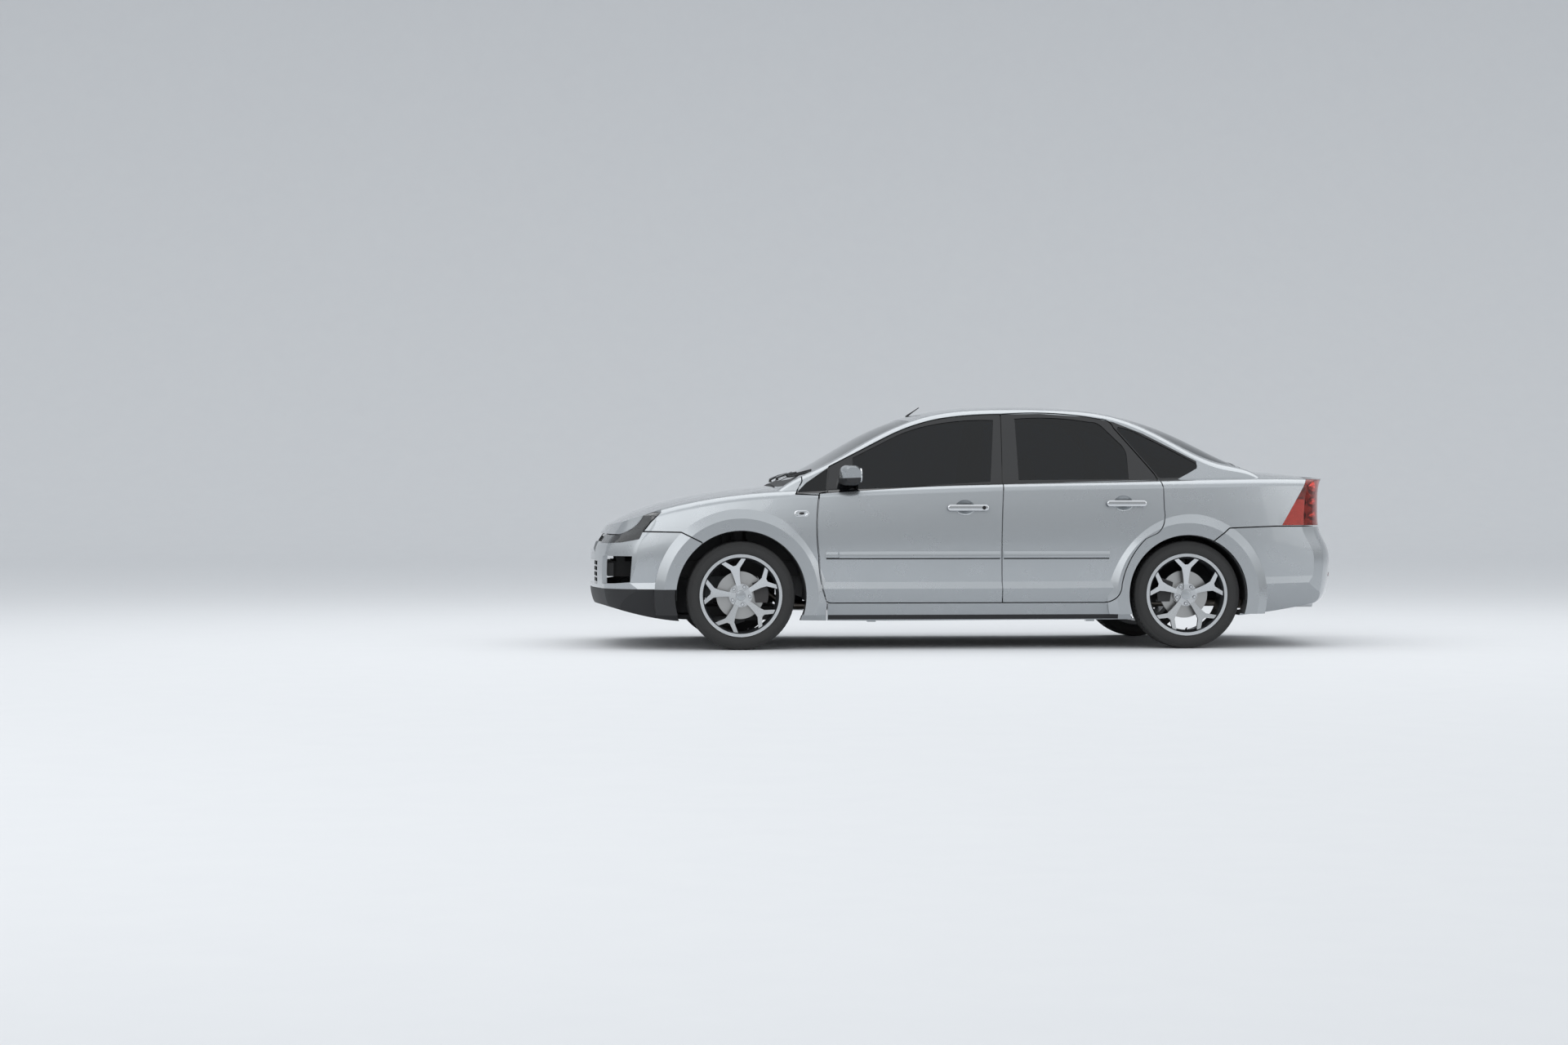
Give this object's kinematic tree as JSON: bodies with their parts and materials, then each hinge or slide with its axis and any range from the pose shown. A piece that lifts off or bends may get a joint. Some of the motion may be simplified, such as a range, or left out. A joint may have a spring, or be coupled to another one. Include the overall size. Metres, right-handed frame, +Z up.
{
  "type": "four-door saloon car",
  "caption": "Compact four-door saloon car with opening doors, bonnet, boot lid and fuel flap, steered front wheels and turning wheels on forked-spoke alloy rims.",
  "frame": {"origin": "on the ground under the middle of the car's length and width", "axes": "-X towards the nose, -Y towards the car's left side, +Z up"},
  "size_m": [4.4836, 2.02, 1.4467],
  "materials": {
    "silver_paint": "metallic clear coat",
    "glass": "tinted, polished",
    "black_plastic": "grained",
    "gloss_black": "polished",
    "lamp_clear": "clear moulded lens",
    "lamp_red": "clear red lens",
    "tyre_rubber": "moulded",
    "alloy": "machined and lacquered",
    "cast_iron": "turned",
    "chassis_steel": "dip coated",
    "engine_metal": "cast",
    "exhaust_steel": "dull",
    "seat_cloth": "woven",
    "trim_plastic": "soft grained",
    "underbody": "sealed",
    "mirror_case": "metallic clear coat"
  },
  "bodies": {
    "body": {"floor_pan": "underbody", "boot_floor": "underbody", "wheel_houses": "underbody", "rear_panel": "underbody", "front_chassis": "chassis_steel", "side_frame_left": "silver_paint", "side_frame_right": "silver_paint", "roof_panel": "silver_paint", "front_wings": "silver_paint", "front_bumper": "silver_paint", "front_valance": "black_plastic", "front_grille": "gloss_black", "headlamps": "lamp_clear", "tail_lamps": "lamp_red", "rear_bumper": "silver_paint", "windscreen": "glass", "rear_window": "glass", "quarter_windows": "glass", "cowl_panel": "black_plastic", "dashboard": "trim_plastic", "engine_block": "engine_metal", "front_seats": "seat_cloth", "rear_seat": "seat_cloth", "parcel_shelf": "trim_plastic", "exhaust": "exhaust_steel", "front_subframe": "chassis_steel", "rear_axle": "chassis_steel", "arch_liners": "black_plastic", "fuel_tank": "black_plastic"},
    "bonnet": {"bonnet": "silver_paint"},
    "boot_lid": {"boot_lid": "silver_paint"},
    "fuel_flap": {"fuel_flap": "silver_paint"},
    "steering_wheel": {"steering_wheel": "trim_plastic"},
    "door_front_left": {"door_front_left": "silver_paint", "door_glass_front_left": "glass", "door_mirror_left": "mirror_case"},
    "door_rear_left": {"door_rear_left": "silver_paint", "door_glass_rear_left": "glass"},
    "knuckle_left": {"knuckle_front_left": "cast_iron"},
    "wheel_front_left": {"tyre_front_left": "tyre_rubber", "rim_front_left": "alloy", "brake_disc_front_left": "cast_iron"},
    "wheel_rear_left": {"tyre_rear_left": "tyre_rubber", "rim_rear_left": "alloy", "brake_disc_rear_left": "cast_iron"},
    "door_front_right": {"door_front_right": "silver_paint", "door_glass_front_right": "glass", "door_mirror_right": "mirror_case"},
    "door_rear_right": {"door_rear_right": "silver_paint", "door_glass_rear_right": "glass"},
    "knuckle_right": {"knuckle_front_right": "cast_iron"},
    "wheel_front_right": {"tyre_front_right": "tyre_rubber", "rim_front_right": "alloy", "brake_disc_front_right": "cast_iron"},
    "wheel_rear_right": {"tyre_rear_right": "tyre_rubber", "rim_rear_right": "alloy", "brake_disc_rear_right": "cast_iron"}
  },
  "joints": [
    {"name": "door_front_left_hinge", "type": "hinge", "parent": "body", "child": "door_front_left", "pos_m": [-0.9235, -0.905, 0.65], "axis": [0, 0, -1], "range_deg": [0, 65]},
    {"name": "door_rear_left_hinge", "type": "hinge", "parent": "body", "child": "door_rear_left", "pos_m": [0.162, -0.909, 0.65], "axis": [0, 0, -1], "range_deg": [0, 68]},
    {"name": "door_front_right_hinge", "type": "hinge", "parent": "body", "child": "door_front_right", "pos_m": [-0.9235, 0.905, 0.65], "axis": [0, 0, 1], "range_deg": [0, 65]},
    {"name": "door_rear_right_hinge", "type": "hinge", "parent": "body", "child": "door_rear_right", "pos_m": [0.162, 0.909, 0.65], "axis": [0, 0, 1], "range_deg": [0, 68]},
    {"name": "steering_left", "type": "hinge", "parent": "body", "child": "knuckle_left", "pos_m": [-1.374, -0.705, 0.19], "axis": [0, 0.2356, 0.9719], "range_deg": [-33, 33]},
    {"name": "wheel_front_left_spin", "type": "hinge", "parent": "knuckle_left", "child": "wheel_front_left", "pos_m": [-1.374, -0.7675, 0.3185], "axis": [0, 1, 0], "continuous": true},
    {"name": "wheel_rear_left_spin", "type": "hinge", "parent": "body", "child": "wheel_rear_left", "pos_m": [1.266, -0.7675, 0.3185], "axis": [0, 1, 0], "continuous": true},
    {"name": "steering_right", "type": "hinge", "parent": "body", "child": "knuckle_right", "pos_m": [-1.374, 0.705, 0.19], "axis": [0, -0.2356, 0.9719], "range_deg": [-33, 33]},
    {"name": "wheel_front_right_spin", "type": "hinge", "parent": "knuckle_right", "child": "wheel_front_right", "pos_m": [-1.374, 0.7675, 0.3185], "axis": [0, 1, 0], "continuous": true},
    {"name": "wheel_rear_right_spin", "type": "hinge", "parent": "body", "child": "wheel_rear_right", "pos_m": [1.266, 0.7675, 0.3185], "axis": [0, 1, 0], "continuous": true},
    {"name": "bonnet_hinge", "type": "hinge", "parent": "body", "child": "bonnet", "pos_m": [-1.113, 0, 0.965], "axis": [0, 1, 0], "range_deg": [0, 55]},
    {"name": "boot_lid_hinge", "type": "hinge", "parent": "body", "child": "boot_lid", "pos_m": [1.6, 0, 1.08], "axis": [0, -1, 0], "range_deg": [0, 80]},
    {"name": "fuel_flap_hinge", "type": "hinge", "parent": "body", "child": "fuel_flap", "pos_m": [1.475, 0.866, 0.876], "axis": [0, 0, 1], "range_deg": [0, 90]},
    {"name": "steering_wheel_turn", "type": "hinge", "parent": "body", "child": "steering_wheel", "pos_m": [-0.47, -0.37, 0.8], "axis": [0.9135, 0, 0.4067], "range_deg": [-462, 462]}
  ],
  "couplings": [
    {"joint": "steering_right", "follows": "steering_left", "ratio": 1},
    {"joint": "steering_wheel_turn", "follows": "steering_left", "ratio": 14}
  ]
}
